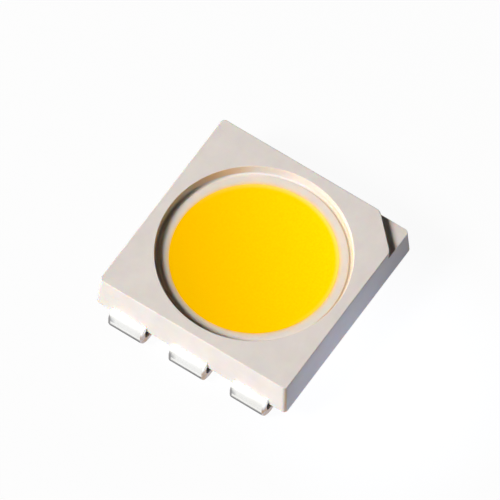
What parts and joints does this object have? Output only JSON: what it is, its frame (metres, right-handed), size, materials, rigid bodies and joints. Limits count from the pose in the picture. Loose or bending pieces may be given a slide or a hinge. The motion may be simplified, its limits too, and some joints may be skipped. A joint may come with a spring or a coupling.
{
  "type": "smd led",
  "caption": "Square white surface-mount light-emitting diode with a round stepped cup of yellow phosphor silicone, folded metal leads and a corner notch that marks polarity.",
  "frame": {"origin": "middle of the footprint on the solder plane", "axes": "+Z is the way the light leaves, +X runs across the body from leads 1 to 3 to leads 4 to 6, and the notch is at the +X, -Y corner"},
  "size_m": [0.0054, 0.005, 0.0015],
  "materials": {
    "housing_resin": "moulded matte white",
    "phosphor_silicone": "cast, fine mottled grain",
    "silvered_copper": "bright silver plate, bare copper on the cut edges",
    "die_crystal": "polished crystal",
    "die_adhesive": "cured clear adhesive",
    "gold_wire": "drawn gold"
  },
  "bodies": {
    "root": {"housing": "housing_resin", "encapsulant": "phosphor_silicone", "lead_1": "silvered_copper", "lead_2": "silvered_copper", "lead_3": "silvered_copper", "lead_4": "silvered_copper", "lead_5": "silvered_copper", "lead_6": "silvered_copper", "die_1": "die_crystal", "die_2": "die_crystal", "die_3": "die_crystal", "die_attach_1": "die_adhesive", "die_attach_2": "die_adhesive", "die_attach_3": "die_adhesive", "bond_wire_1": "gold_wire", "bond_wire_2": "gold_wire", "bond_wire_3": "gold_wire", "bond_wire_4": "gold_wire", "bond_wire_5": "gold_wire", "bond_wire_6": "gold_wire"}
  },
  "joints": []
}
